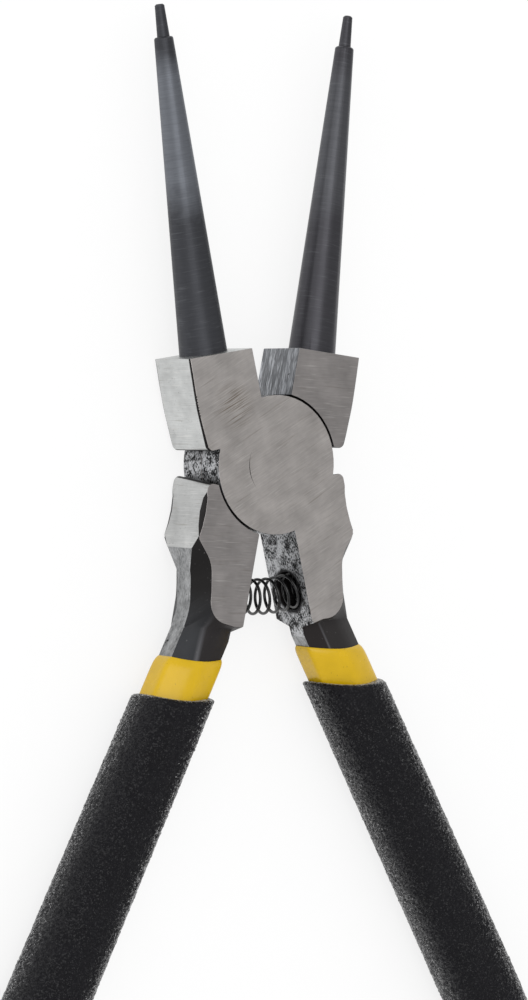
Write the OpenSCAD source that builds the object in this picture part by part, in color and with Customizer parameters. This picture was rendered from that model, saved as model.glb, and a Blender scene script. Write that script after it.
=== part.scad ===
// Internal circlip pliers. Two identical forged halves are lapped, riveted together and sprung open,
// and their handles are dipped twice. X runs to the right, Y to the tips and Z up the pivot, and the
// underside of the head lies at Z = 0.

/* [Head] */
// Thickness of the head between its ground faces
head_thickness = 9.2; // [8:0.1:12]
// Radius of the lap disc that each half turns on
disc_radius = 10; // [9:0.1:10.4]
// Gap between a lap disc and the arc that it turns in
disc_gap = 0.3; // [0.2:0.05:0.5]
// Gap between the two lap faces
lap_gap = 0.06; // [0.04:0.01:0.2]
// Angle between the two halves at rest, counted from the closed pliers
rest_opening = 25; // [18:1:32]

/* [Jaws] */
// Gap between the jaws of the closed pliers
jaw_gap = 0.8; // [0.6:0.1:2]
// Width of a jaw block
jaw_width = 10.7; // [10.2:0.1:13]
// Height of a jaw block's top over the pivot, on the axis of the tip
jaw_height = 17.6; // [16:0.1:22]
// Height over the pivot of the step under a jaw
jaw_step = 4.5; // [4:0.1:6]
// How far the outer side of a jaw swells out at its middle
jaw_swell = 0.3; // [0.1:0.05:0.6]
// Rounding of the outer corners of the steps beside the lap disc
step_round = 1; // [0.5:0.1:1.5]
// Width of the unground edge along the outer side of a jaw, at its top
jaw_edge_width = 0.12; // [0.1:0.02:0.3]
// Depth of that edge
jaw_edge_depth = 0.3; // [0.2:0.05:0.6]

/* [Tips] */
// Lean of a tip towards the other one
tip_lean = 4.5; // [3:0.1:5]
// Length of the tapered shaft
shaft_length = 45; // [30:0.5:60]
// Diameter of the shaft at the jaw
shaft_d = 6.9; // [5:0.1:9]
// Diameter of the shaft at the nib
shaft_end_d = 2.7; // [2.2:0.1:3.2]
// Length of the nib that enters the eye of a ring
nib_length = 4.6; // [3:0.1:6]
// Diameter of the nib at its root
nib_d = 1.8; // [1.5:0.1:2]
// Diameter of the nib at its end
nib_end_d = 1.35; // [1:0.05:1.45]
// Edge break at the ends of the shaft and the nib
tip_chamfer = 0.2; // [0.1:0.05:0.3]

/* [Rivet] */
// Diameter of the rivet between its heads
rivet_d = 6.4; // [5:0.1:7.5]
// Diameter of the rivet's countersunk heads at the ground faces
rivet_head_d = 9.5; // [8.5:0.1:11]
// Depth of the countersinks
rivet_sink = 1.5; // [1:0.1:2]
// Radial clearance round the rivet
rivet_fit = 0.04; // [0.02:0.01:0.08]

/* [Shoulders] */
// Gap between the inner sides of the closed handles, under the head
shoulder_gap = 1.8; // [1.4:0.1:3]
// Reach of a shoulder from the middle of the closed pliers
shoulder_reach = 10.95; // [10.8:0.05:13]
// Depth under the pivot of the step over a shoulder
shoulder_step = 3.8; // [3.5:0.1:4.8]
// How far that step falls from the lap disc's face to the other face
step_fall = 0.9; // [0:0.1:1.2]
// Depth under the pivot where the outer side of a shoulder ends
shoulder_depth = 12.9; // [11:0.1:13.5]
// Depth under the pivot of the ground face's lower end
face_depth = 23.8; // [22:0.1:28]
// Width of the ground face near its lower end
face_width = 5.9; // [5:0.1:6.5]
// Width of the unground edge beside a shoulder, at its widest
edge_width = 0.4; // [0.2:0.05:0.8]
// Depth of that edge
edge_depth = 1; // [0.5:0.1:1.6]
// Reach of the waist under a shoulder from the middle of the closed pliers
waist_reach = 8.5; // [8.2:0.1:9.2]
// Length of the forged slope from the ground face down to the shank
forged_slope = 2; // [1.6:0.1:3]

/* [Handles] */
// Angle of a handle out from the middle of the closed pliers
handle_angle = 15; // [12:0.5:18]
// Where the axis of a handle passes the lower end of the ground face, from the middle
handle_offset = 4.5; // [4.3:0.1:5]
// Width of the forged shank
shank_width = 7.9; // [7:0.1:8.4]
// Thickness of the forged shank on its ridge
shank_thickness = 6.8; // [5.5:0.1:7.5]
// Height of the trimmed band along both sides of the forging
trim_height = 3.4; // [2.4:0.1:4]
// Length of a handle's straight stretch
straight_length = 65; // [45:1:80]
// Radius of the bend at the end of a handle
bend_radius = 84; // [60:1:140]
// Length of the bend, measured on the steel
bend_length = 24; // [12:1:34]

/* [Dips] */
// Start of the undercoat, down a handle from the ground face
undercoat_start = 5; // [4.5:0.1:8]
// Thickness of the undercoat
undercoat_thickness = 0.5; // [0.4:0.1:1]
// Thickness of the undercoat at its feathered rim
undercoat_rim = 0.15; // [0.1:0.05:0.3]
// Start of the grip, down a handle from the ground face
grip_start = 11; // [11:0.1:20]
// Tilt of the rims on the right handle, from level in the rest pose
right_rim_tilt = 0; // [-2:0.5:8]
// Tilt of the rims on the left handle, from level in the rest pose
left_rim_tilt = 6; // [-2:0.5:8]
// How much further down their handle the left rims lie
left_rim_drop = 0.6; // [0:0.1:1.5]
// Width of the grip at its start
grip_width = 10.9; // [10.6:0.1:14]
// Width of the grip at its end
grip_end_width = 11.8; // [10.6:0.1:15]
// Thickness of the grip at its start
grip_thickness = 9.8; // [9.4:0.1:12]
// Thickness of the grip at its end
grip_end_thickness = 10.4; // [9.4:0.1:12]
// Thickness of the grip over the end of a handle
grip_cap = 2; // [1:0.1:4]

/* [Spring] */
// Depth under the pivot of the spring's pockets
pocket_level = 19.2; // [17.5:0.1:20]
// Diameter of the pockets
pocket_d = 5.8; // [4.5:0.1:6]
// Depth of the pockets
pocket_depth = 4; // [3:0.1:4.5]
// Gap between the spring and its pockets, all round
spring_fit = 0.2; // [0.1:0.05:0.4]
// Diameter of the spring's wire
wire_d = 0.45; // [0.4:0.05:0.7]
// Distance between the open coils of the spring
spring_pitch = 1.7; // [1:0.05:2.2]

/* [Hidden] */
$fn = 96;

half_opening = rest_opening / 2;
half_thickness = head_thickness / 2;
arc_radius = disc_radius + disc_gap;
steel_length = straight_length + bend_length;
// Length and size of the steel's blunt end
blunt = 1;
blunt_scale = 0.8;
// Length over which the undercoat gains its thickness
feather = 1.5;
// Share of a quarter turn that the grip's end is domed by
dome_share = 0.75;
// Tilt of a handle from the upright in the rest pose
handle_tilt = handle_angle + half_opening;

// Places up the outer side of a shoulder, each with its share of the unground edge's full width
edge_lens = [[0.05, 0.15], [0.22, 0.7], [0.44, 1], [0.66, 0.7]];

// Facets of the swept shapes
corner_facets = 8;
crown_facets = 8;
ring_facets = 2 * crown_facets + 4;
bend_facets = 6;
wire_facets = 6;
coil_facets = 16;

// How far cutting shapes run past what they cut
cut = 1;
// How far the rough forging stands over the faces that are ground on it
stock = 1;
// Height of the side where the ground face has no bevel, over the face so that grinding leaves no edge
flush = half_thickness + stock / 4;
// Reach of the grinding, past both ends of the tool
ground_size = 500;

// Corner b of an outline a-b-c, rounded to radius r as an arc that touches both sides
function rounded_corner(a, b, c, r) =
    let (
        to_a = (a - b) / norm(a - b),
        to_c = (c - b) / norm(c - b),
        half = acos(to_a * to_c) / 2,
        middle = b + (to_a + to_c) / norm(to_a + to_c) * r / sin(half),
        start = b + to_a * r / tan(half) - middle,
        end = b + to_c * r / tan(half) - middle,
        turn = atan2(start.x * end.y - start.y * end.x, start * end)
    )
    [for (i = [0:corner_facets])
        let (angle = turn * i / corner_facets)
        middle + [
            start.x * cos(angle) - start.y * sin(angle),
            start.x * sin(angle) + start.y * cos(angle)
        ]
    ];

// Outline through corners [x, y, radius], where radius 0 stays sharp
function rounded_outline(corners) =
    let (count = len(corners))
    [for (i = [0:count - 1])
        let (
            a = corners[(i + count - 1) % count],
            b = corners[i],
            c = corners[(i + 1) % count]
        )
        each b[2] == 0
            ? [[b.x, b.y]]
            : rounded_corner([a.x, a.y], [b.x, b.y], [c.x, c.y], b[2])
    ];

// Value k of each corner, repeated for each point of such an outline
function corner_values(corners, k) =
    [for (c = corners) each c[2] == 0 ? [c[k]] : [for (i = [0:corner_facets]) c[k]]];

// Outline with each point lifted to its own height, and moved down by its own fall over the thickness
function lifted(outline, heights, falls) =
    [for (i = [0:len(outline) - 1])
        let (share = (half_thickness - heights[i]) / head_thickness)
        [outline[i].x, outline[i].y - falls[i] * share, heights[i]]
    ];

// Triangles between ring i and the next one, both of count points
function band(i, count) =
    [for (k = [0:count - 1])
        let (
            a = i * count + k,
            b = i * count + (k + 1) % count
        )
        each [[a, b, b + count], [a, b + count, a + count]]
    ];

// Closed solid through a stack of rings
module skin(rings) {
    count = len(rings[0]);
    last = len(rings) - 1;
    polyhedron(
        points = [for (ring = rings) each ring],
        faces = concat(
            [[for (k = [0:count - 1]) k]],
            [for (i = [0:last - 1]) each [for (f = band(i, count)) [f[2], f[1], f[0]]]],
            [[for (k = [count - 1:-1:0]) last * count + k]]
        )
    );
}

// Closed cup: from the floor of its inside, up to its rim and down its outside to its end
module cup(inside, outside) skin(concat([for (i = [len(inside) - 1:-1:0]) inside[i]], outside));

// Rough forging with corners [x, y, radius, height, fall]: its side follows their outline up to its
// heights, and bevels lead from there through the outline of the ground face to the top of the stock
module forging(corners, face) {
    side = rounded_outline(corners);
    heights = corner_values(corners, 3);
    falls = corner_values(corners, 4);
    top = half_thickness + stock / 2;
    rough = [for (i = [0:len(side) - 1])
        let (run = (top - heights[i]) / (half_thickness - heights[i]))
        heights[i] == flush ? side[i] : side[i] + run * (face[i] - side[i])
    ];
    tops = [for (z = heights) top];
    skin([
        lifted(rough, -tops, falls),
        lifted(side, -heights, falls),
        lifted(side, heights, falls),
        lifted(rough, tops, falls),
    ]);
}

// Puts a half in its place on top of the lap
module front() translate([0, 0, half_thickness]) rotate([0, 0, half_opening]) children();

// Puts the same half, turned over, under the lap
module back() translate([0, 0, half_thickness]) rotate([0, 180, 0]) rotate([0, 0, half_opening]) children();

// Jaw block with an unground edge along its outer side that widens downwards
module jaw_block() {
    inner = -jaw_gap / 2;
    outer = inner - jaw_width;
    rise = jaw_width / 2 * tan(tip_lean);
    middle = (jaw_height + jaw_step) / 2;
    edge = half_thickness - jaw_edge_depth;
    corners = [
        [inner, 0, 0, flush, 0],
        [inner, jaw_height - rise, 0, flush, 0],
        [outer, jaw_height + rise, 0, edge, 0],
        [outer - jaw_swell, middle, 2 * jaw_height, edge, 0],
        [outer, jaw_step, step_round, edge, 0],
        [outer + jaw_width / 2, jaw_step, 0, flush, 0],
    ];
    forging(corners, [for (p = rounded_outline(corners)) p + [jaw_edge_width * (2 - p.y / jaw_height), 0]]);
}

// Tapered round shaft and nib, standing on the jaw block
module tip() {
    sunk = 2;
    slope = (shaft_d - shaft_end_d) / 2 / shaft_length;
    nib_slope = (nib_d - nib_end_d) / 2 / nib_length;
    profile = [
        [0, -sunk],
        [shaft_d / 2 + sunk * slope, -sunk],
        [shaft_end_d / 2 + tip_chamfer * slope, shaft_length - tip_chamfer],
        [shaft_end_d / 2 - tip_chamfer, shaft_length],
        [nib_d / 2, shaft_length],
        [nib_end_d / 2 + tip_chamfer * nib_slope, shaft_length + nib_length - tip_chamfer],
        [nib_end_d / 2 - tip_chamfer, shaft_length + nib_length],
        [0, shaft_length + nib_length],
    ];
    translate([-(jaw_gap + jaw_width) / 2, jaw_height, 0])
        rotate([0, 0, -tip_lean])
            rotate([-90, 0, 0])
                rotate_extrude() polygon(profile);
}

// Shoulder beside the lap disc and its forged run-out to the shank. The ground face stands back from
// the trimmed side: by a sliver beside the shoulder, by nothing at its widest point, then by a wide bevel.
module shoulder() {
    inner = shoulder_gap / 2;
    trim = trim_height / 2;
    // Lower inner corner: its cut, and the slope under it
    corner = 0.3;
    corner_slope = 0.8;
    // Ground face: its lower end, the turn under the shoulder and the slight bow between them
    low_round = 3.2;
    turn = [1.3, -2.7];
    turn_round = 5;
    bow = 0.17;
    bow_round = 30;
    face_low = [inner + face_width, -face_depth];
    face_turn = [face_low.x + turn.x, turn.y - shoulder_depth];
    face_bow = (face_low + face_turn) / 2 - [bow, 0];
    // Trimmed side: its widest point, the flank under it, the waist and the foot on the shank
    point_fall = 1.3;
    point_round = 0.8;
    flank = [0.85, -5];
    flank_round = 6;
    waist_rise = 1.2;
    waist_round = 8;
    foot_reach = handle_offset + forged_slope * tan(handle_angle) + shank_width / 2 / cos(handle_angle);
    foot_round = 0.5;
    outer_height = shoulder_depth - shoulder_step;
    face = rounded_outline([
        [inner, 0, 0],
        [inner, corner - face_depth, 0],
        [inner + corner, -face_depth, 0],
        [face_low.x, face_low.y, low_round],
        [face_bow.x, face_bow.y, bow_round],
        [face_turn.x, face_turn.y, turn_round],
        [shoulder_reach, -shoulder_depth, point_round],
        for (e = edge_lens) [shoulder_reach - edge_width * e[1], outer_height * e[0] - shoulder_depth, 0],
        [shoulder_reach, -shoulder_step, step_round],
        [disc_radius / 2, -shoulder_step, 0],
    ]);
    forging([
        [inner, 0, 0, trim, 0],
        [inner, corner - face_depth, 0, trim, 0],
        [inner, -face_depth - corner_slope, 0, trim, 0],
        [foot_reach, -face_depth - forged_slope, foot_round, trim, 0],
        [waist_reach, waist_rise - face_depth, waist_round, trim, 0],
        [waist_reach + flank.x, flank.y - shoulder_depth, flank_round, trim, 0],
        [shoulder_reach, -shoulder_depth - point_fall, point_round, (trim + half_thickness) / 2, 0],
        for (e = edge_lens)
            [shoulder_reach, outer_height * e[0] - shoulder_depth, 0, half_thickness - edge_depth * e[1], 0],
        [shoulder_reach, -shoulder_step, step_round, flush, step_fall],
        [disc_radius / 2, -shoulder_step, 0, flush, step_fall],
    ], face);
}

// Point on a handle: s down its axis, u out from the axis and z up from the middle of the forging
function on_handle(s, u, z) =
    let (
        bent = max(0, s - straight_length),
        heading = handle_angle - bent / bend_radius * 180 / PI,
        straight = min(s, straight_length),
        x = handle_offset + straight * sin(handle_angle) + bend_radius * (cos(heading) - cos(handle_angle)),
        y = -face_depth - straight * cos(handle_angle) - bend_radius * (sin(handle_angle) - sin(heading))
    )
    [x + u * cos(heading), y + u * sin(heading), z];

// Ring of a handle at s, from a section of [u, z] points, slanted to the level of a dip's rim
function handle_ring(s, section, slant = 0) = [for (p = section) on_handle(s + slant * p.x, p.x, p.y)];

// Forged section: trimmed bands on both sides and a soft ridge between them, scaled by k and then grown
function forged_section(k = 1, grow = 0) =
    let (
        w = shank_width / 2 * k + grow,
        trim = trim_height / 2 * k + grow / 2,
        rise = shank_thickness / 2 * k + grow - trim,
        ridge = 1.4,
        crown = [for (i = [1:crown_facets])
            let (t = 1 - 2 * i / (crown_facets + 1))
            [w * t, trim + rise * (1 - pow(abs(t), ridge))]
        ]
    )
    concat(
        [[w, -trim], [w, trim]],
        crown,
        [[-w, trim], [-w, -trim]],
        [for (p = crown) [-p.x, -p.y]]
    );

// Dipped section: a rounded bar of the given width and thickness
function dipped_section(width, thickness) =
    [for (i = [0:ring_facets - 1])
        let (
            angle = 360 * (i - 0.5) / ring_facets,
            c = cos(angle),
            s = sin(angle),
            squareness = 0.8
        )
        [width / 2 * sign(c) * pow(abs(c), squareness), thickness / 2 * sign(s) * pow(abs(s), squareness)]
    ];

// Stations round the bend of a handle, up to length
function bend_stations(length) =
    [for (i = [0:bend_facets]) straight_length + (length - straight_length) * i / bend_facets];

// Rings of the dipped steel from s = start to its blunt end, grown by the thickness of a coat
function steel_rings(start, slant, coat = 0) = concat(
    [handle_ring(start, forged_section(1, coat), slant)],
    [for (s = bend_stations(steel_length - blunt)) handle_ring(s, forged_section(1, coat))],
    [handle_ring(steel_length + coat, forged_section(blunt_scale, coat))]
);

// Rings of the bare shank, from a root inside the shoulder that stands just back from its inner side
function shank_rings() =
    let (
        root = handle_ring(-0.6, forged_section()),
        root_end = 1.3,
        inner = shoulder_gap / 2 + 0.03
    )
    concat([[for (p = root) [max(p.x, inner), p.y, p.z]]], steel_rings(root_end, 0));

// Rings of the grip's outside, growing wider from its rolled rim to its domed end
function grip_rings(start, slant) =
    let (
        rim = (grip_width - shank_width) / 2 - undercoat_thickness,
        dome = undercoat_thickness + grip_cap,
        size_at = function (s)
            let (t = (s - start) / (steel_length + dome - start))
            [grip_width, grip_thickness] * (1 - t) + [grip_end_width, grip_end_thickness] * t,
        ring_at = function (s, slant, size) handle_ring(s, dipped_section(size.x, size.y), slant)
    )
    concat(
        [for (a = [0:30:90]) ring_at(start + rim * (1 - cos(a)), slant, size_at(start) - [rim, rim] * (1 - sin(a)))],
        [for (s = bend_stations(steel_length)) ring_at(s, 0, size_at(s))],
        [for (a = [30, 60, 80]) ring_at(steel_length + dome * sin(a), 0, size_at(steel_length) * cos(dome_share * a))]
    );

// Half of the pliers in its closed place, with its jaw to the left and its handle to the right
module half() {
    pocket_mouth = shoulder_gap / 2;
    difference() {
        intersection() {
            union() {
                jaw_block();
                tip();
                cylinder(h = head_thickness + 3 * stock, r = disc_radius, center = true);
                shoulder();
                skin(shank_rings());
            }
            // Ground faces
            cube([ground_size, ground_size, head_thickness], center = true);
        }
        // Recess that the other half's lap disc turns in
        translate([0, 0, -half_thickness - cut])
            cylinder(h = half_thickness + cut + lap_gap / 2, r = arc_radius);
        rivet_hole();
        translate([pocket_mouth - cut, -pocket_level, 0])
            rotate([0, 90, 0]) cylinder(h = pocket_depth + cut, d = pocket_d);
    }
}

// Hole for the rivet with its countersink
module rivet_hole() {
    cylinder(h = half_thickness + cut, d = rivet_d + 2 * rivet_fit);
    sink_slope = (rivet_head_d - rivet_d) / rivet_sink;
    translate([0, 0, half_thickness - rivet_sink])
        cylinder(
            h = rivet_sink + cut,
            d1 = rivet_d + 2 * rivet_fit,
            d2 = rivet_head_d + 2 * rivet_fit + cut * sink_slope
        );
}

// First dip, feathered at its rim, for a handle whose rims tilt from level and lie further down by drop
module undercoat(tilt, drop) {
    slant = tan(handle_tilt - tilt);
    start = undercoat_start + drop;
    rim = handle_ring(start, forged_section(1, undercoat_rim), slant);
    cup(steel_rings(start, slant), concat([rim], steel_rings(start + feather, slant, undercoat_thickness)));
}

// Second dip, over the first one
module grip(tilt, drop) {
    slant = tan(handle_tilt - tilt);
    start = grip_start + drop;
    cup(steel_rings(start, slant, undercoat_thickness), grip_rings(start, slant));
}

module front_half() color("silver") front() half();

module back_half() color("silver") back() half();

module pivot_rivet() color("lightgray") rotate_extrude() polygon([
    [0, 0],
    [rivet_head_d / 2, 0],
    [rivet_d / 2, rivet_sink],
    [rivet_d / 2, head_thickness - rivet_sink],
    [rivet_head_d / 2, head_thickness],
    [0, head_thickness],
]);

// Coil spring, bowed between the pockets of the two halves
module return_spring() {
    coil_radius = (pocket_d - wire_d) / 2 - spring_fit;
    mouth = [
        shoulder_gap / 2 * cos(half_opening) + pocket_level * sin(half_opening),
        shoulder_gap / 2 * sin(half_opening) - pocket_level * cos(half_opening)
    ];
    bow_radius = mouth.x / sin(half_opening);
    bow_middle = mouth.y + bow_radius * cos(half_opening);
    bow_half = bow_radius * half_opening * PI / 180;
    half_length = bow_half + pocket_depth - wire_d / 2 - spring_fit;
    // One closed coil at each end and open coils between them
    open_length = 2 * half_length - 2 * wire_d;
    open_coils = round(open_length / spring_pitch);
    steps = (open_coils + 2) * coil_facets;
    along = function (turn)
        turn < 1 ? turn * wire_d
        : turn < open_coils + 1 ? wire_d + (turn - 1) * open_length / open_coils
        : wire_d + open_length + (turn - open_coils - 1) * wire_d;
    // Point at distance t along the bowed axis and r out from it at angle a
    point = function (t, r, a)
        let (
            lean = max(-half_opening, min(half_opening, t / bow_radius * 180 / PI)),
            over = t - lean * PI / 180 * bow_radius,
            out = [-sin(lean), cos(lean)],
            way = [cos(lean), sin(lean)],
            p = [bow_radius * sin(lean), bow_middle - bow_radius * cos(lean)] + over * way + r * cos(a) * out
        )
        [p.x, p.y, half_thickness + r * sin(a)];
    rings = [for (i = [0:steps])
        let (turn = i / coil_facets)
        [for (k = [0:wire_facets - 1])
            let (b = 360 * k / wire_facets)
            point(along(turn) - half_length + wire_d / 2 * sin(b), coil_radius + wire_d / 2 * cos(b), 360 * turn)
        ]
    ];
    color("dimgray") skin(rings);
}

module right_undercoat() color("gold") front() undercoat(right_rim_tilt, 0);

module right_grip() color("darkslategray") front() grip(right_rim_tilt, 0);

module left_undercoat() color("gold") back() undercoat(left_rim_tilt, left_rim_drop);

module left_grip() color("darkslategray") back() grip(left_rim_tilt, left_rim_drop);

front_half();
back_half();
pivot_rivet();
return_spring();
right_undercoat();
right_grip();
left_undercoat();
left_grip();
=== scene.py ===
import math

import bmesh
import bpy
import numpy as np
from mathutils import Matrix, Vector
from mathutils.bvhtree import BVHTree


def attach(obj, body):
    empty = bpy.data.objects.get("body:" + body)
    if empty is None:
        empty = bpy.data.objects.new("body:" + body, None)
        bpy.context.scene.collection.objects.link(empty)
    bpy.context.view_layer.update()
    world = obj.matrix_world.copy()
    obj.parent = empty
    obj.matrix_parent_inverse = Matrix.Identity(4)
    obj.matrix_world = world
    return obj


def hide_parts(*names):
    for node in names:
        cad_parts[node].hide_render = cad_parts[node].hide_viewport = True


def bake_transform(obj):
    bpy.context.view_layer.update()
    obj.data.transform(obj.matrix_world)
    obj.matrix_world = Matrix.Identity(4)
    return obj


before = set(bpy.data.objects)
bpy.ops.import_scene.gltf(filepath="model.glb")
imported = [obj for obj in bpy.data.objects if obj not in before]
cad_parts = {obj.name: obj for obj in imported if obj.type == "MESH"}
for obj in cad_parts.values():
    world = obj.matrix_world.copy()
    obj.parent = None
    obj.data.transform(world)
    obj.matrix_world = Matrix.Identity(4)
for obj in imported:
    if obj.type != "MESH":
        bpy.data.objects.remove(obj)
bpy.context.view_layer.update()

# Sizes in millimetres and angles in degrees, in line with the CAD source
MM = 0.001
HEAD = 9.2
HALF_OPENING = 12.5
HANDLE_ANGLE = 15
HANDLE_OFFSET = 4.5
FACE_DEPTH = 23.8
STRAIGHT = 65
BEND_RADIUS = 84
STEEL_LENGTH = 89
SHANK_WIDTH = 7.9
SHANK_THICKNESS = 6.8
TRIM_HEIGHT = 3.4
UNDERCOAT_START = 5
UNDERCOAT_THICKNESS = 0.5
GRIP_START = 11
GRIP_SIZE = np.array([10.9, 9.8])
GRIP_END_SIZE = np.array([11.8, 10.4])
GRIP_CAP = 2.5
RIVET_D = 6.4
RIVET_HEAD_D = 9.5
RIVET_SINK = 1.5
POCKET_MOUTH = (5.034, -18.55)
COIL_RADIUS = 2.475
WIRE_D = 0.45
OPEN_COILS = 10
SPRING_HALF_LENGTH = 8.65
DISC_RADIUS = 10

# Places on a closed half, in millimetres, that tell its finishes apart
JAW_HEIGHT = 17.6
JAW_WALL = -0.4
JAW_SIDE = -10
SHOULDER_SIDE = 10.3
SHOULDER_END = -13.8
HANDLE_WALL = (0.7, 1.2)
# How far from the pivot the walls between the jaws and between the handles start
WALL_START = 8

# Powers that shape the crown of the forging, the grip's section and its domed end
CROWN_POWER, GRIP_POWER, DOME_POWER = 1.4, 0.8, 0.6

# Tilt of the dips' rims from level, and how much further down their handle they lie
RIMS = {"right": (0, 0), "left": (6, 0.6)}
# Body that carries each side's handle
BODY = {"right": "front", "left": "back"}


def put(points, body):
    """Points of a half in its closed place, turned to its rest place: opened about the pivot, and turned over for
    the back."""
    c, s = math.cos(math.radians(HALF_OPENING)), math.sin(math.radians(HALF_OPENING))
    x, y, z = points[..., 0], points[..., 1], points[..., 2]
    over = 1 if body == "front" else -1
    return np.stack([over * (c * x - s * y), s * x + c * y, over * z + HEAD / 2], -1)


def closed(points, body, shift=True):
    """Opposite of put, for points or, without the shift, for directions."""
    c, s = math.cos(math.radians(HALF_OPENING)), math.sin(math.radians(HALF_OPENING))
    over = 1 if body == "front" else -1
    x, y = over * points[..., 0], points[..., 1]
    z = over * (points[..., 2] - (HEAD / 2 if shift else 0))
    return np.stack([c * x + s * y, c * y - s * x, z], -1)


def add_piece(name, mesh, node):
    """Shows the mesh as a piece that stands for a CAD node."""
    piece = bpy.data.objects.new(name, mesh)
    bpy.context.collection.objects.link(piece)
    mesh.polygons.foreach_set("use_smooth", np.ones(len(mesh.polygons), bool))
    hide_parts(node)
    return piece


def skin(name, rings, start, end):
    """Closed mesh over a stack of rings [row, column, xyz] in millimetres: quads between rows, a fan to a pole at
    each end."""
    rows, columns = rings.shape[:2]
    k = np.arange(columns)
    after = (k + 1) % columns
    row = columns * np.arange(rows - 1)[:, None]
    quads = np.stack([row + k, row + after, row + columns + after, row + columns + k], -1).reshape(-1, 4)
    last = columns * (rows - 1)
    poles = rows * columns
    first_fan = np.stack([after, k, np.full(columns, poles)], -1)
    last_fan = np.stack([last + k, last + after, np.full(columns, poles + 1)], -1)
    points = np.concatenate([rings.reshape(-1, 3), [start], [end]]) * MM
    mesh = bpy.data.meshes.new(name)
    mesh.from_pydata(points, [], quads.tolist() + first_fan.tolist() + last_fan.tolist())
    mesh.validate()
    return mesh


def even_ring(outline, count, soften=0):
    """Closed outline resampled to count points at even distances, its finer waves faded by a bell curve of width
    soften."""
    ring = np.concatenate([outline, outline[:1]])
    way = np.concatenate([[0], np.cumsum(np.hypot(*np.diff(ring, axis=0).T))])
    at = np.linspace(0, way[-1], count, endpoint=False)
    even = np.interp(at, way, ring[:, 0]) + 1j * np.interp(at, way, ring[:, 1])
    waves = np.fft.fftfreq(count, 1 / count)
    even = np.fft.ifft(np.fft.fft(even) * np.exp(-((waves * soften) ** 2) / 2))
    return np.stack([even.real, even.imag], -1)


# Points round a section
RING = 128


def forged_section(grow, soften=0):
    """Section of the forged shank grown by a coat: straight trimmed bands, and between them crowns that rise as
    1 - |t|^1.4, where t goes from 1 to -1 across the shank."""
    w = SHANK_WIDTH / 2 + grow
    trim = TRIM_HEIGHT / 2 + grow / 2
    rise = SHANK_THICKNESS / 2 + grow - trim
    t = np.linspace(1, -1, 161)
    crown = np.stack([w * t, trim + rise * (1 - np.abs(t) ** CROWN_POWER)], -1)
    half = np.concatenate([[[w, 0]], crown])
    return even_ring(np.concatenate([half, -half]), RING, soften)


def dipped_section(size):
    """Section of the grip: a bar of the given width and thickness, its sides and corners rounded as |cos|^0.8 and
    |sin|^0.8."""
    angle = np.linspace(0, 2 * np.pi, 4 * RING, endpoint=False)
    c, s = np.cos(angle), np.sin(angle)
    u = size[0] / 2 * np.sign(c) * np.abs(c) ** GRIP_POWER
    z = size[1] / 2 * np.sign(s) * np.abs(s) ** GRIP_POWER
    return even_ring(np.stack([u, z], -1), RING)


def on_handle(s, u, z):
    """Point s down a handle's axis, u out from it and z up: a straight run, then an arc that turns back in."""
    lean = math.radians(HANDLE_ANGLE)
    heading = lean - np.maximum(0, s - STRAIGHT) / BEND_RADIUS
    straight = np.minimum(s, STRAIGHT)
    x = HANDLE_OFFSET + straight * math.sin(lean) + BEND_RADIUS * (np.cos(heading) - math.cos(lean))
    y = -FACE_DEPTH - straight * math.cos(lean) - BEND_RADIUS * (math.sin(lean) - np.sin(heading))
    return np.stack([x + u * np.cos(heading), y + u * np.sin(heading), z + 0 * s], -1)


def rim_level(side, start, section, sag):
    """Place of a dip's rim round its section: level, apart from its tilt and a sag that falls from the ridge as
    1 - u^2."""
    tilt, drop = RIMS[side]
    slant = math.tan(math.radians(HANDLE_ANGLE + HALF_OPENING - tilt))
    u = section[:, 0]
    return start + drop + slant * u + sag * (1 - (u / np.abs(u).max()) ** 2)


def sleeve(side, start, sag, rows):
    """Stack of handle rings: each row has its share v of the way from the rim to the steel's end, its distance
    beyond that place, and its section; the rim's slant fades evenly on the way."""
    rings = []
    for v, beyond, section in rows:
        s = (1 - v) * rim_level(side, start, section, sag) + v * STEEL_LENGTH + beyond
        rings.append(put(on_handle(s, section[:, 0], section[:, 1]), BODY[side]))
    return np.array(rings)


def end_pole(side, beyond):
    """Middle of a handle's end, beyond the steel."""
    return put(on_handle(np.float64(STEEL_LENGTH + beyond), 0, 0), BODY[side])


def add_undercoat(side):
    """First dip: a cup whose coat grows from a thin rim as 1 - exp(-d), with the distance d down from the rim, to its
    full thickness."""
    bite, rim, growth, soften, sag = 0.03, 0.12, 0.5, 0.08, 0.4
    sunk, narrowed, inner_end, outer_end = 0.98, 0.9, -0.2, 0.5
    inside = forged_section(-bite)
    full = forged_section(UNDERCOAT_THICKNESS, soften)
    down = np.array([0, 0.04, 0.1, 0.2, 0.35, 0.55, 0.8, 1.2, 1.8, 3, 5, 8])
    coat = rim + (UNDERCOAT_THICKNESS - rim) * (1 - np.exp(-down / growth))
    rows = [(v, 0, sunk * inside) for v in np.linspace(1, 0, 12)]
    rows += [(0, 0, inside)]
    rows += [(0, d, forged_section(c, soften)) for d, c in zip(down, coat)]
    rows += [(v, 0, full) for v in np.linspace(0.15, 1, 12)]
    rows += [(1, 0.8 * outer_end, narrowed * full)]
    rings = sleeve(side, UNDERCOAT_START, sag, rows)
    mesh = skin(side + "_undercoat_dip", rings, end_pole(side, inner_end), end_pole(side, outer_end))
    piece = add_piece(side + "_undercoat_dip", mesh, side + "_undercoat")
    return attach(piece, BODY[side])


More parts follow.
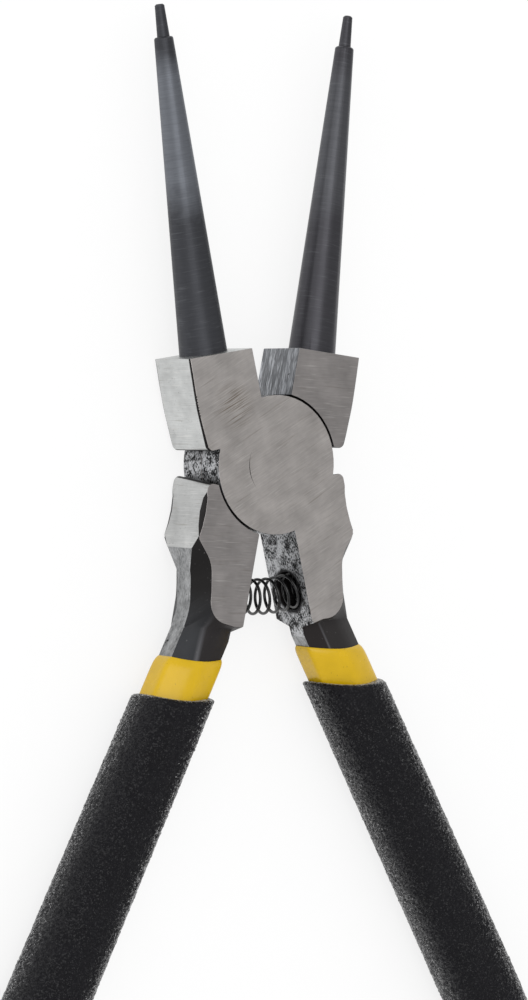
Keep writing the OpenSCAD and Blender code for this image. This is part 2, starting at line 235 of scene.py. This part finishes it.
def add_grip(side):
    """Second dip: a cup with a rim rolled as a quarter circle, growing evenly wider to an end domed as
    (sin, cos^0.6), its outside raised and sunk by chance in sandy grains."""
    grains = np.random.default_rng(len(side))
    bite, rim, sag, inner_end = 0.05, 0.55, 0.45, 0.4
    grain_on_rim, grain = 0.006, 0.007
    inside = forged_section(UNDERCOAT_THICKNESS - bite)
    roll = np.radians(np.linspace(0, 90, 9))
    share = np.linspace(0, 1, 291)[1:]
    dome = np.radians(np.linspace(6, 84, 14))
    outside = [(0, rim * (1 - math.cos(a)), GRIP_SIZE - 2 * rim * (1 - math.sin(a))) for a in roll]
    outside += [(v, rim * (1 - v), GRIP_SIZE * (1 - v) + GRIP_END_SIZE * v) for v in share]
    outside += [(1, GRIP_CAP * math.sin(a), GRIP_END_SIZE * math.cos(a) ** DOME_POWER) for a in dome]
    rows = [(v, 0, inside) for v in np.linspace(1, 0, 12)]
    for v, beyond, size in outside:
        height = grain_on_rim if size[0] < GRIP_SIZE[0] else grain
        rows.append((v, beyond, dipped_section(size) * (1 + height * grains.normal(size=(RING, 1)))))
    rings = sleeve(side, GRIP_START, sag, rows)
    mesh = skin(side + "_grip_dip", rings, end_pole(side, inner_end), end_pole(side, GRIP_CAP))
    piece = add_piece(side + "_grip_dip", mesh, side + "_grip")
    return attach(piece, BODY[side])


def add_rivet():
    """Rivet turned about the pivot, with two countersunk heads that are ground flush. The heads fill their holes but
    for an open arc, where their radius falls by a bell curve of the angle."""
    pressed, open_depth, open_at, open_width = 0.035, 0.11, math.radians(188), math.radians(22)
    angle = np.linspace(0, 2 * np.pi, 192, endpoint=False)
    seam = open_depth * np.exp(-(((angle - open_at) / open_width) ** 2))
    whole = np.ones_like(angle)
    head, shank = RIVET_HEAD_D / 2 + pressed - seam, RIVET_D / 2 * whole
    r = np.array([0.5 * head, head, shank, shank, head, 0.5 * head])
    z = np.outer([0, 0, RIVET_SINK, HEAD - RIVET_SINK, HEAD, HEAD], whole)
    mesh = skin("rivet", np.stack([r * np.cos(angle), r * np.sin(angle), z], -1), (0, 0, 0), (0, 0, HEAD))
    piece = add_piece("rivet", mesh, "pivot_rivet")
    mesh.set_sharp_from_angle(angle=math.radians(30))
    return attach(piece, "back")


def add_spring():
    """Wire wound round an axis that bows from one pocket to the other and runs straight inside them: its place along
    the axis grows by a wire's width over the closed turn at each end and evenly over the open coils between them."""
    coil_points, wire_points, first_turn = 48, 16, 0.25
    lean = math.radians(HALF_OPENING)
    bow = POCKET_MOUTH[0] / math.sin(lean)
    middle = POCKET_MOUTH[1] + bow * math.cos(lean)
    turns, length = OPEN_COILS + 2, 2 * SPRING_HALF_LENGTH
    turn = np.linspace(0, turns, coil_points * turns + 1)[:, None]
    place = np.interp(turn, [0, 1, turns - 1, turns], [0, WIRE_D, length - WIRE_D, length])
    round_wire = np.linspace(2 * np.pi, 0, wire_points, endpoint=False)

    def wound(wire, about):
        """Places at a distance from the wire's middle and at angles about it."""
        along = place - SPRING_HALF_LENGTH + wire * np.sin(about)
        out = COIL_RADIUS + wire * np.cos(about)
        angle = 2 * np.pi * (turn + first_turn)
        a = np.clip(along / bow, -lean, lean)
        over = along - a * bow
        x = bow * np.sin(a) + over * np.cos(a) - out * np.cos(angle) * np.sin(a)
        y = middle - bow * np.cos(a) + over * np.sin(a) + out * np.cos(angle) * np.cos(a)
        return np.stack([x, y, HEAD / 2 + out * np.sin(angle) + 0 * a], -1)

    rings = wound(WIRE_D / 2, round_wire)
    axis = wound(0, np.zeros(1))[:, 0]
    mesh = skin("spring", rings, axis[0], axis[-1])
    piece = add_piece("spring", mesh, "return_spring")
    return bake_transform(piece)


GROUND, SIDE, STREAKED, PITTED, TRIMMED, OXIDE, TIP = range(7)


def finishes(mesh, body):
    """Finish of each face of a half, told by where it lies and looks in the closed place: ground faces, bright
    sides, the streaked wall between the jaws, pitted walls, trimmed bands, blackened forging and turned tips."""
    near = 0.1
    count = len(mesh.polygons)
    places, ways = np.empty(3 * count), np.empty(3 * count)
    mesh.polygons.foreach_get("center", places)
    mesh.polygons.foreach_get("normal", ways)
    x, y, z = closed(places.reshape(-1, 3) / MM, body).T
    nx, ny, nz = closed(ways.reshape(-1, 3), body, False).T
    upright = np.abs(nz) < 0.2
    to_left, to_right, to_tips = upright & (nx < -0.7), upright & (nx > 0.7), ny > 0.9
    below_shoulder = y < SHOULDER_END + 4 * near
    sunk = np.abs(z) < HEAD / 2 - 2 * near
    finish = np.full(count, OXIDE)
    finish[upright & (np.abs(np.hypot(x, y) - DISC_RADIUS) < near)] = PITTED
    finish[upright & below_shoulder & (np.abs(z) < TRIM_HEIGHT / 2 + near)] = TRIMMED
    finish[to_left & (x > HANDLE_WALL[0]) & (x < HANDLE_WALL[1]) & (y < -WALL_START)] = PITTED
    finish[to_right & (np.abs(x - JAW_WALL) < near) & (y > WALL_START)] = STREAKED
    finish[to_left & (x < JAW_SIDE)] = SIDE
    finish[to_right & (x > SHOULDER_SIDE) & (y > SHOULDER_END)] = SIDE
    finish[to_tips & (np.abs(y - JAW_HEIGHT) < 10 * near) & (x < JAW_WALL)] = SIDE
    finish[np.abs(nz) > 0.98] = GROUND
    finish[(np.abs(nz) > 0.5) & sunk & (y < SHOULDER_END - 2 * near)] = OXIDE
    finish[(y > JAW_HEIGHT + 2 * near) & ~to_tips] = TIP
    return finish


def blackened(edge):
    """Tells whether an edge lies inside the blackened forging, where the faces flow into each other."""
    return all(face.material_index == OXIDE for face in edge.link_faces)


def add_half(body):
    """Forged half: the CAD mesh with its vertices merged, its flat faces joined and its edges broken, all but the
    rivet's hole. Where short edges meet and a break runs out of the forging, it is put back on its surface."""
    touching, short, edge_break, run_out = 0.001 * MM, 0.12 * MM, 0.1 * MM, 0.05 * MM
    flat, sharp_from, smooth_to = math.radians(0.5), math.radians(28), math.radians(40)
    rivet_hole, tips_start = 5.5 * MM, 20 * MM
    node = body + "_half"
    shape = bmesh.new()
    shape.from_mesh(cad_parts[node].data)
    bmesh.ops.remove_doubles(shape, verts=shape.verts, dist=touching)
    bmesh.ops.dissolve_limit(shape, angle_limit=flat, verts=shape.verts, edges=shape.edges)
    below_tips = [e for e in shape.edges if max(v.co.y for v in e.verts) < tips_start]
    bmesh.ops.dissolve_degenerate(shape, dist=short, edges=below_tips)
    mesh = bpy.data.meshes.new(body + "_steel")
    shape.to_mesh(mesh)
    shape.free()
    for material in STEEL[body]:
        mesh.materials.append(material)
    mesh.polygons.foreach_set("material_index", finishes(mesh, body))
    shape = bmesh.new()
    shape.from_mesh(mesh)
    forged = BVHTree.FromBMesh(shape)
    sharp = [e for e in shape.edges if e.calc_face_angle(0) > sharp_from and e.calc_length() > 1.5 * edge_break]
    sharp = [e for e in sharp if e.verts[0].co.xy.length > rivet_hole and not blackened(e)]
    bmesh.ops.bevel(shape, geom=sharp, offset=edge_break, offset_type="OFFSET", segments=2, profile=0.5,
                    affect="EDGES", clamp_overlap=False, material=-1)
    for vert in shape.verts:
        place, _, _, away = forged.find_nearest(vert.co)
        if away > run_out:
            vert.co = place
    bmesh.ops.remove_doubles(shape, verts=shape.verts, dist=touching)
    for edge in shape.edges:
        edge.smooth = blackened(edge) or edge.calc_face_angle(0) < smooth_to
    shape.to_mesh(mesh)
    shape.free()
    piece = add_piece(body + "_steel", mesh, node)
    normals = piece.modifiers.new("even faces", "WEIGHTED_NORMAL")
    normals.weight = 50
    normals.keep_sharp = True
    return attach(piece, body)


def add_node(tree, kind, inputs, output=0, **settings):
    """Output of a new node, whose inputs are linked to other outputs or set to values."""
    node = tree.nodes.new("ShaderNode" + kind)
    for name, value in settings.items():
        setattr(node, name, value)
    for key, value in inputs.items():
        if isinstance(value, bpy.types.NodeSocket):
            tree.links.new(value, node.inputs[key])
        else:
            node.inputs[key].default_value = value
    return node.outputs[output]


def maths(tree, operation, a, b):
    """Result of an operation on two values."""
    return add_node(tree, "Math", {0: a, 1: b}, operation=operation)


def spread(tree, value, low, high, to_low=0.0, to_high=1.0):
    """Value from low to high, spread evenly over another range and held at its ends."""
    return add_node(tree, "MapRange", {0: value, 1: low, 2: high, 3: to_low, 4: to_high})


# Values between which most of a noise lies, round a half
NOISE_LOW, NOISE_HIGH = 0.3, 0.7


def varied(tree, tone, low, high):
    """Value between low and high that follows a tone."""
    return spread(tree, tone, NOISE_LOW, NOISE_HIGH, low, high)


def noise(tree, vector, scale, detail=2.0, roughness=0.5):
    """Cloudy noise round a half, of about scale clouds to a millimetre."""
    inputs = {"Vector": vector, "Scale": scale, "Detail": detail, "Roughness": roughness}
    return add_node(tree, "TexNoise", inputs)


def stretched(tree, vector, scales):
    """Place with each of its coordinates scaled, so that a pattern on it is drawn out where the scale is low."""
    return add_node(tree, "VectorMath", {0: vector, 1: scales}, operation="MULTIPLY")


def shade(colour, share=1):
    """Share of a colour, with the fourth value that a colour socket takes."""
    return tuple(share * c for c in colour) + (1,)


def mixed(tree, share, a, b, part=1):
    """Colour a, mixed with part of a share of colour b."""
    if part != 1:
        share = maths(tree, "MULTIPLY", share, part)
    return add_node(tree, "Mix", {0: share, 6: a, 7: b}, output=2, data_type="RGBA")


def new_group(name, inputs, values, vectors=()):
    """Shader node group with named inputs and outputs, its input sockets and its output node's inputs."""
    tree = bpy.data.node_groups.new(name, "ShaderNodeTree")
    for label, kind in inputs:
        tree.interface.new_socket(label, in_out="INPUT", socket_type="NodeSocket" + kind)
    for label in values:
        tree.interface.new_socket(label, in_out="OUTPUT", socket_type="NodeSocketFloat")
    for label in vectors:
        tree.interface.new_socket(label, in_out="OUTPUT", socket_type="NodeSocketVector")
    return tree, tree.nodes.new("NodeGroupInput").outputs, tree.nodes.new("NodeGroupOutput").inputs


def use_group(tree, group, inputs):
    """Outputs of a group used in a material."""
    node = tree.nodes.new("ShaderNodeGroup")
    node.node_tree = group
    for key, value in inputs.items():
        if isinstance(value, bpy.types.NodeSocket):
            tree.links.new(value, node.inputs[key])
        else:
            node.inputs[key].default_value = value
    return node.outputs


def scratches_group():
    """Lines along one direction, in millimetres: fine ones everywhere, sparse dark ones and sparse bright ones, and
    the place turned to them."""
    inputs = [("Vector", "Vector"), ("Angle", "Float")]
    tree, given, result = new_group("scratches", inputs, ["Fine", "Dark", "Bright"], ["Turned"])
    turning = {"Vector": given["Vector"], "Angle": given["Angle"]}
    turned = add_node(tree, "VectorRotate", turning, rotation_type="Z_AXIS")
    fine = noise(tree, stretched(tree, turned, (0.3, 5, 5)), 1.0, 3.0, 0.65)
    dark = noise(tree, stretched(tree, turned, (0.16, 2.6, 2.6)), 1.0, 2.0, 0.6)
    bright = noise(tree, stretched(tree, turned, (0.22, 4.5, 4.5)), 1.3, 1.0, 0.5)
    tree.links.new(turned, result["Turned"])
    tree.links.new(fine, result["Fine"])
    tree.links.new(spread(tree, dark, 0.62, 0.74), result["Dark"])
    tree.links.new(spread(tree, bright, 0.64, 0.74), result["Bright"])
    return tree


def pits_group():
    """Pits of a size in millimetres, with ragged edges, where a noise rises above a level that falls with their
    cover of the surface."""
    inputs = [("Vector", "Vector"), ("Size", "Float"), ("Cover", "Float")]
    tree, given, result = new_group("pits", inputs, ["Mask"])
    rough = noise(tree, given["Vector"], maths(tree, "DIVIDE", 1.0, given["Size"]), 4.0, 0.62)
    level = maths(tree, "MULTIPLY_ADD", given["Cover"], -0.34)
    level.node.inputs[2].default_value = 0.7
    tree.links.new(spread(tree, maths(tree, "SUBTRACT", rough, level), 0.0, 0.05), result["Mask"])
    return tree


def patches_group():
    """Slow change of tone over some millimetres, round a half."""
    tree, given, result = new_group("patches", [("Vector", "Vector")], ["Tone"])
    tree.links.new(noise(tree, given["Vector"], 0.22, 3.0, 0.6), result["Tone"])
    return tree


def grain_group():
    """Sandy grain of a dip: a normal that is tilted by chance on each grain, and a mask of the paler grains."""
    inputs = [("Vector", "Vector"), ("Tilt", "Float")]
    tree, given, result = new_group("grain", inputs, ["Light"], ["Normal"])
    chance = add_node(tree, "TexVoronoi", {"Vector": given["Vector"], "Scale": 6.0}, output="Color")
    tilt = add_node(tree, "VectorMath", {0: chance, 1: (0.5, 0.5, 0.5)}, operation="SUBTRACT")
    tilt = add_node(tree, "VectorMath", {0: tilt, "Scale": given["Tilt"]}, operation="SCALE")
    straight = tree.nodes.new("ShaderNodeNewGeometry").outputs["Normal"]
    tilted = add_node(tree, "VectorMath", {0: straight, 1: tilt}, operation="ADD")
    tree.links.new(add_node(tree, "VectorMath", {0: tilted}, operation="NORMALIZE"), result["Normal"])
    one_in_ten = spread(tree, add_node(tree, "SeparateXYZ", {0: chance}, output="X"), 0.9, 0.95)
    tree.links.new(one_in_ten, result["Light"])
    return tree


SCRATCHES, PITS, PATCHES, GRAIN = scratches_group(), pits_group(), patches_group(), grain_group()


def new_material(name, **constants):
    """Material, its shader, and the place on the object in millimetres."""
    made = bpy.data.materials.new(name)
    made.use_nodes = True
    tree = made.node_tree
    shader = tree.nodes["Principled BSDF"]
    for key, value in constants.items():
        shader.inputs[key.replace("_", " ")].default_value = value
    place = add_node(tree, "TexCoord", {}, output="Object")
    place = add_node(tree, "VectorMath", {0: place, "Scale": 1 / MM}, operation="SCALE")
    return made, tree, shader, place


def toned(tree, colour, tone, amount):
    """Colour made lighter and darker by a tone round a half."""
    return mixed(tree, varied(tree, tone, 0.0, 1.0), shade(colour, 1 - amount), shade(colour, 1 + amount))


def set_bump(tree, shader, height, strength, distance):
    """Relief of a height, its depth in millimetres."""
    bump = add_node(tree, "Bump", {"Height": height, "Strength": strength, "Distance": distance * MM})
    tree.links.new(bump, shader.inputs["Normal"])


def ground_steel(name, colour, angle, specks, across=0, scuffed=None):
    """Ground steel: fine lines from the stone, a few deeper scratches, specks where the stone missed, and a scuffed
    spot. Lines that run across the thickness come from a place turned about Y."""
    bright, missed, scuff_reach, scuff_middle = (0.85, 0.83, 0.8), (0.14, 0.14, 0.14), 3.8, 1.4
    made, tree, shader, place = new_material(name, Metallic=1)
    turning = {"Vector": place, "Angle": math.radians(across)}
    laid = add_node(tree, "VectorRotate", turning, rotation_type="Y_AXIS")
    lines = use_group(tree, SCRATCHES, {"Vector": laid, "Angle": math.radians(angle)})
    tone = use_group(tree, PATCHES, {"Vector": place})["Tone"]
    speck = use_group(tree, PITS, {"Vector": place, "Size": 0.3, "Cover": specks})["Mask"]
    fine, slow = maths(tree, "MULTIPLY", lines["Fine"], 0.4), maths(tree, "MULTIPLY", tone, 0.6)
    base = toned(tree, colour, maths(tree, "ADD", fine, slow), 0.24)
    dark = maths(tree, "MULTIPLY", lines["Dark"], 0.3)
    if scuffed:
        away = add_node(tree, "VectorMath", {0: place, 1: scuffed}, output="Value", operation="DISTANCE")
        deep = noise(tree, stretched(tree, lines["Turned"], (0.12, 6, 6)), 1.0, 2.0, 0.7)
        near = spread(tree, away, scuff_reach, scuff_middle)
        scuff = maths(tree, "MULTIPLY", near, spread(tree, deep, 0.47, 0.58))
        dark = maths(tree, "MAXIMUM", dark, maths(tree, "MULTIPLY", scuff, 0.75))
    base = mixed(tree, dark, base, (0.36 * colour[0], 0.3 * colour[1], 0.22 * colour[2], 1))
    base = mixed(tree, lines["Bright"], base, shade(bright), part=0.32)
    base = mixed(tree, speck, base, shade(missed), part=0.45)
    tree.links.new(base, shader.inputs["Base Color"])
    tree.links.new(varied(tree, lines["Fine"], 0.38, 0.46), shader.inputs["Roughness"])
    set_bump(tree, shader, lines["Fine"], 0.2, 0.008)
    return made


def pitted_steel(name, light, angle, streaks, cloudy, rough, black, pits, mouth=None):
    """Steel as it left the trimming tool: clouds and rough grains, drawn out into streaks along one direction, black
    where they are low and pale where they are high, with larger pits, and painted shade, black round the mouth of the
    spring's pocket, where the pocket's hollow lies in shadow."""
    mill_scale, pit_and_shade_black, drawn_line = (0.015, 0.015, 0.016), (0.012, 0.012, 0.013), (0.7, 0.71, 0.73)
    made, tree, shader, place = new_material(name, Metallic=1)
    lines = use_group(tree, SCRATCHES, {"Vector": place, "Angle": math.radians(angle)})
    drawn = stretched(tree, lines["Turned"], (1.05 - streaks, 1, 1))
    cloud = noise(tree, drawn, 0.8, 3.0, 0.6)
    grain = noise(tree, stretched(tree, drawn, (0.7, 1, 1)), 4.5, 2.0, 0.7)
    pit = use_group(tree, PITS, {"Vector": place, "Size": 1.5, "Cover": pits})["Mask"]
    cloud = spread(tree, cloud, 0.0, 1.0, -cloudy, cloudy)
    tone = maths(tree, "ADD", cloud, spread(tree, grain, 0.0, 1.0, -0.5 * rough, 0.5 * rough))
    pale, hard, soft = 0.05, 0.03, 0.06 / rough
    base = mixed(tree, spread(tree, tone, black - hard, black + hard), shade(mill_scale), shade(light, 0.62))
    base = mixed(tree, spread(tree, tone, pale - soft, pale + soft), base, shade(light, 1.5))
    base = mixed(tree, lines["Bright"], base, shade(drawn_line), part=0.3 * streaks)
    base = mixed(tree, pit, base, shade(pit_and_shade_black))
    # Painted shade: black round the mouth of the spring's pocket, standing for the shadow in its hollow
    if mouth:
        away = add_node(tree, "VectorMath", {0: place, 1: mouth}, output="Value", operation="DISTANCE")
        away = maths(tree, "SUBTRACT", away, maths(tree, "MULTIPLY", grain, 1.2))
        base = mixed(tree, spread(tree, away, 2.9, 2.5), base, shade(pit_and_shade_black))
    tree.links.new(base, shader.inputs["Base Color"])
    tree.links.new(varied(tree, grain, 0.6, 0.42), shader.inputs["Roughness"])
    set_bump(tree, shader, maths(tree, "SUBTRACT", tone, pit), 0.3, 0.06)
    return made


def black_steel(name, colours, ridge):
    """Blackened forging: a satin black that turns paler towards the shank, with painted shade that makes the outer
    side of a ridge along its crown lighter and the inner side darker, and a painted highlight along the ridge, a line
    given by its place, the way across it and its width."""
    highlight_grey, chipped = (0.13, 0.13, 0.14), (0.16, 0.16, 0.16)
    paler_along, highlight_along = (-17, -24), (-20.5, -27)
    made, tree, shader, place = new_material(name, Metallic=0.4, Specular_IOR_Level=0.25)
    deep, outer, inner = colours
    start, across, width = ridge
    tone = use_group(tree, PATCHES, {"Vector": place})["Tone"]
    speck = use_group(tree, PITS, {"Vector": place, "Size": 0.4, "Cover": 0.08})["Mask"]
    along = add_node(tree, "SeparateXYZ", {0: place}, output="Y")
    offset = add_node(tree, "VectorMath", {0: place, 1: start}, operation="SUBTRACT")
    from_line = add_node(tree, "VectorMath", {0: offset, 1: across}, output="Value", operation="DOT_PRODUCT")
    # Painted shade: the outer flank of the ridge lighter, the inner flank darker
    shaded_flanks = mixed(tree, spread(tree, from_line, -width, width), shade(inner), shade(outer))
    # Darker towards the head and paler towards the shank
    base = mixed(tree, spread(tree, along, *paler_along), shade(deep), shaded_flanks)
    # Painted highlight along the ridge, strongest further down the shank
    ridge_highlight = spread(tree, maths(tree, "ABSOLUTE", from_line, 0.0), width, 0.0)
    ridge_highlight = maths(tree, "MULTIPLY", ridge_highlight, spread(tree, along, *highlight_along, 0.0, 0.8))
    base = mixed(tree, ridge_highlight, base, shade(highlight_grey))
    base = mixed(tree, speck, base, shade(chipped), part=0.5)
    tree.links.new(base, shader.inputs["Base Color"])
    tree.links.new(varied(tree, tone, 0.38, 0.5), shader.inputs["Roughness"])
    set_bump(tree, shader, noise(tree, place, 2.5, 3.0), 0.2, 0.03)
    return made


def tip_steel(name, root, end, rough, angle):
    """Turned and blackened tip: turning marks that change most along its axis, and a paler band that covers its outer
    half up to the nib, between two places along Y at each of which it fades."""
    pale_from, pale_to, crest, patchy = (34, 40.5), (59, 54.5), (0.3, 0.31, 0.33), 0.25
    made, tree, shader, place = new_material(name, Metallic=0.8, Specular_IOR_Level=0.2)
    turned = use_group(tree, SCRATCHES, {"Vector": place, "Angle": math.radians(angle)})["Turned"]
    marks = noise(tree, stretched(tree, turned, (0.3, 5.5, 0.3)), 1.0, 2.0, 0.6)
    tone = use_group(tree, PATCHES, {"Vector": place})["Tone"]
    along = add_node(tree, "SeparateXYZ", {0: place}, output="Y")
    pale_band = maths(tree, "MINIMUM", spread(tree, along, *pale_from), spread(tree, along, *pale_to))
    paleness = maths(tree, "ADD", pale_band, varied(tree, tone, -patchy, patchy))
    base = mixed(tree, spread(tree, paleness, 0.1, 0.9), shade(root), shade(end))
    base = mixed(tree, spread(tree, marks, 0.55, 0.35, 0.0, 0.14), base, shade(root, 0.4))
    base = mixed(tree, spread(tree, marks, 0.6, 0.72, 0.0, 0.12), base, shade(crest))
    tree.links.new(base, shader.inputs["Base Color"])
    tree.links.new(varied(tree, tone, rough - 0.04, rough + 0.04), shader.inputs["Roughness"])
    set_bump(tree, shader, marks, 0.4, 0.02)
    return made


def wire_steel():
    """Black spring wire, paler in places."""
    made, tree, shader, place = new_material("wire_steel", Roughness=0.07, Specular_IOR_Level=0.6)
    tone = use_group(tree, PATCHES, {"Vector": place})["Tone"]
    tree.links.new(toned(tree, (0.008, 0.008, 0.0085), tone, 0.3), shader.inputs["Base Color"])
    return made


def yellow_dip():
    """Glossy yellow dip with slow waves and a few dark specks."""
    made, tree, shader, place = new_material(
        "yellow_dip", Coat_Weight=0.35, Coat_Roughness=0.2, Specular_IOR_Level=0.2)
    tone = use_group(tree, PATCHES, {"Vector": place})["Tone"]
    speck = use_group(tree, PITS, {"Vector": place, "Size": 0.7, "Cover": 0.1})["Mask"]
    base = toned(tree, (0.59, 0.372, 0.004), tone, 0.06)
    base = mixed(tree, speck, base, (0.12, 0.08, 0.01, 1), part=0.7)
    tree.links.new(base, shader.inputs["Base Color"])
    tree.links.new(varied(tree, tone, 0.2, 0.34), shader.inputs["Roughness"])
    set_bump(tree, shader, noise(tree, place, 0.9, 1.0), 0.25, 0.08)
    return made


def black_dip():
    """Black dip with a sandy grain that sparkles where it is seen along its surface."""
    made, tree, shader, place = new_material(
        "black_dip", Specular_IOR_Level=0.25, Sheen_Weight=0.55, Sheen_Roughness=0.25)
    grain = use_group(tree, GRAIN, {"Vector": place, "Tilt": 0.85})
    tone = use_group(tree, PATCHES, {"Vector": place})["Tone"]
    base = toned(tree, (0.003, 0.0028, 0.0045), tone, 0.2)
    base = mixed(tree, grain["Light"], base, (0.016, 0.016, 0.018, 1), part=0.35)
    tree.links.new(base, shader.inputs["Base Color"])
    tree.links.new(varied(tree, tone, 0.2, 0.3), shader.inputs["Roughness"])
    tree.links.new(grain["Normal"], shader.inputs["Normal"])
    return made


def floor_white():
    """White floor that is seen evenly bright, directly and in the steel, and keeps part of the shadow."""
    glowing = 0.8
    made, tree, shader, place = new_material("floor_white", Roughness=0.9, Specular_IOR_Level=0.0)
    tone = use_group(tree, PATCHES, {"Vector": place})["Tone"]
    tree.links.new(toned(tree, (0.88, 0.88, 0.88), tone, 0.01), shader.inputs["Base Color"])
    glow = add_node(tree, "Emission", {"Color": (1, 1, 1, 1), "Strength": 1.0})
    ray = tree.nodes.new("ShaderNodeLightPath").outputs
    seen = maths(tree, "MAXIMUM", ray["Is Glossy Ray"], ray["Is Transmission Ray"])
    seen = maths(tree, "MULTIPLY", maths(tree, "MAXIMUM", ray["Is Camera Ray"], seen), glowing)
    both = add_node(tree, "MixShader", {0: seen, 1: shader.outputs[0], 2: glow})
    tree.links.new(both, tree.nodes["Material Output"].inputs["Surface"])
    return made


def half_finishes(body, lines, face, side, oxide, tip, ridge, scuffed=None):
    """Materials of a half, in the order of its finishes. Walls are streaked along the half, which leans with its
    opening."""
    over = 1 if body == "front" else -1
    lean = over * HALF_OPENING
    along = -90 - lean
    mouth = (over * POCKET_MOUTH[0], POCKET_MOUTH[1], HEAD / 2)
    return (
        ground_steel(body + "_ground", face, angle=lines, specks=0.0, scuffed=scuffed),
        ground_steel(body + "_side", side, angle=0, specks=0.2, across=90),
        pitted_steel(body + "_streaked", (0.33, 0.34, 0.36), along,
                     streaks=0.9, cloudy=0.3, rough=0.8, black=-0.2, pits=0.1),
        pitted_steel(body + "_pitted", (0.36, 0.365, 0.375), along,
                     streaks=0.2, cloudy=0.45, rough=1.2, black=-0.06, pits=0.22, mouth=mouth),
        pitted_steel(body + "_trimmed", (0.365, 0.37, 0.375), along,
                     streaks=0.55, cloudy=0.3, rough=0.4, black=-0.15, pits=0.12),
        black_steel(body + "_oxide", oxide, ridge),
        tip_steel(body + "_tip", *tip, -lean),
    )


# The front half is the paler one, and the back half's shank is bluer
STEEL = {
    "front": half_finishes(
        "front", lines=-28, face=(0.588, 0.555, 0.535), side=(0.595, 0.605, 0.6),
        oxide=((0.014, 0.0128, 0.0128), (0.032, 0.029, 0.029), (0.025, 0.021, 0.021)),
        tip=((0.066, 0.068, 0.076), (0.178, 0.189, 0.212), 0.47),
        ridge=((8.6, -23.8, 0), (0.889, 0.459, 0), 0.2), scuffed=(-7.2, 8.5, HEAD)),
    "back": half_finishes(
        "back", lines=4, face=(0.425, 0.4, 0.392), side=(0.545, 0.55, 0.545),
        oxide=((0.014, 0.0128, 0.0128), (0.031, 0.0325, 0.036), (0.028, 0.025, 0.0255)),
        tip=((0.07, 0.069, 0.077), (0.1, 0.102, 0.112), 0.37),
        ridge=((-11, -20.8, 0), (-0.95, 0.313, 0), 0.5)),
}
yellow, black = yellow_dip(), black_dip()

for body in ("front", "back"):
    add_half(body)
add_rivet().data.materials.append(STEEL["front"][GROUND])
add_spring().data.materials.append(wire_steel())
for hand in ("right", "left"):
    add_undercoat(hand).data.materials.append(yellow)
    add_grip(hand).data.materials.append(black)

# Camera: where the photograph was taken from, in metres and degrees in the pliers' own frame
CAMERA_TARGET = (0.00083, -0.00519, 0.0046)
CAMERA_DISTANCE = 0.4859
CAMERA_TURN = 34.31
CAMERA_RISE = 2.25
CAMERA_ROLL = -0.446
CAMERA_LENS = 121.29


def add_camera():
    """Camera on a sphere round the target: turned about the pliers' long axis, raised towards the tips, then
    rolled."""
    turn, rise, roll = (math.radians(a) for a in (CAMERA_TURN, CAMERA_RISE, CAMERA_ROLL))
    back = Vector((-math.sin(turn) * math.cos(rise), math.sin(rise), math.cos(turn) * math.cos(rise)))
    right = Vector((0, 1, 0)).cross(back).normalized()
    up = back.cross(right)
    right, up = (math.cos(roll) * right + math.sin(roll) * up, math.cos(roll) * up - math.sin(roll) * right)
    data = bpy.data.cameras.new("camera")
    data.lens = CAMERA_LENS
    data.sensor_width = 36
    data.clip_start = 0.01
    camera = bpy.data.objects.new("camera", data)
    eye = Vector(CAMERA_TARGET) + CAMERA_DISTANCE * back
    rotation = Matrix((right, up, back)).transposed().to_4x4()
    camera.matrix_world = Matrix.Translation(eye) @ rotation
    bpy.context.collection.objects.link(camera)
    bpy.context.scene.camera = camera


def add_floor():
    """White floor just under the grips."""
    level, reach = -0.0008, 6
    corners = [(x * reach, y * reach, level) for x, y in ((-1, -1), (1, -1), (1, 1), (-1, 1))]
    mesh = bpy.data.meshes.new("floor")
    mesh.from_pydata(corners, [], [(0, 1, 2, 3)])
    mesh.materials.append(floor_white())
    floor = bpy.data.objects.new("floor", mesh)
    bpy.context.collection.objects.link(floor)


def add_lamp(name, place, size, energy):
    """Soft square lamp that looks at the head."""
    data = bpy.data.lights.new(name, "AREA")
    data.size = size
    data.energy = energy
    lamp = bpy.data.objects.new(name, data)
    lamp.location = place
    lamp.rotation_euler = (-Vector(place)).to_track_quat("-Z", "Y").to_euler()
    bpy.context.collection.objects.link(lamp)


add_camera()
add_floor()
add_lamp("left_lamp", (-0.75, 0.25, 0.5), 0.6, 0.8)
add_lamp("top_lamp", (-0.33, 0.16, 0.8), 0.52, 1.4)
bpy.context.scene.view_settings.view_transform = "Standard"
world = bpy.data.worlds.new("studio")
bpy.context.scene.world = world
world.use_nodes = True
sky = world.node_tree
# Soft light all round, a darker room in the steel's reflections
ROOM_LIGHT, ROOM_IN_STEEL = 1.0, 0.48
reflected = sky.nodes.new("ShaderNodeLightPath").outputs["Is Glossy Ray"]
room = spread(sky, reflected, 0.0, 1.0, ROOM_LIGHT, ROOM_IN_STEEL)
sky.links.new(room, sky.nodes["Background"].inputs["Strength"])
sky.nodes["Background"].inputs["Color"].default_value = (1, 1, 1, 1)
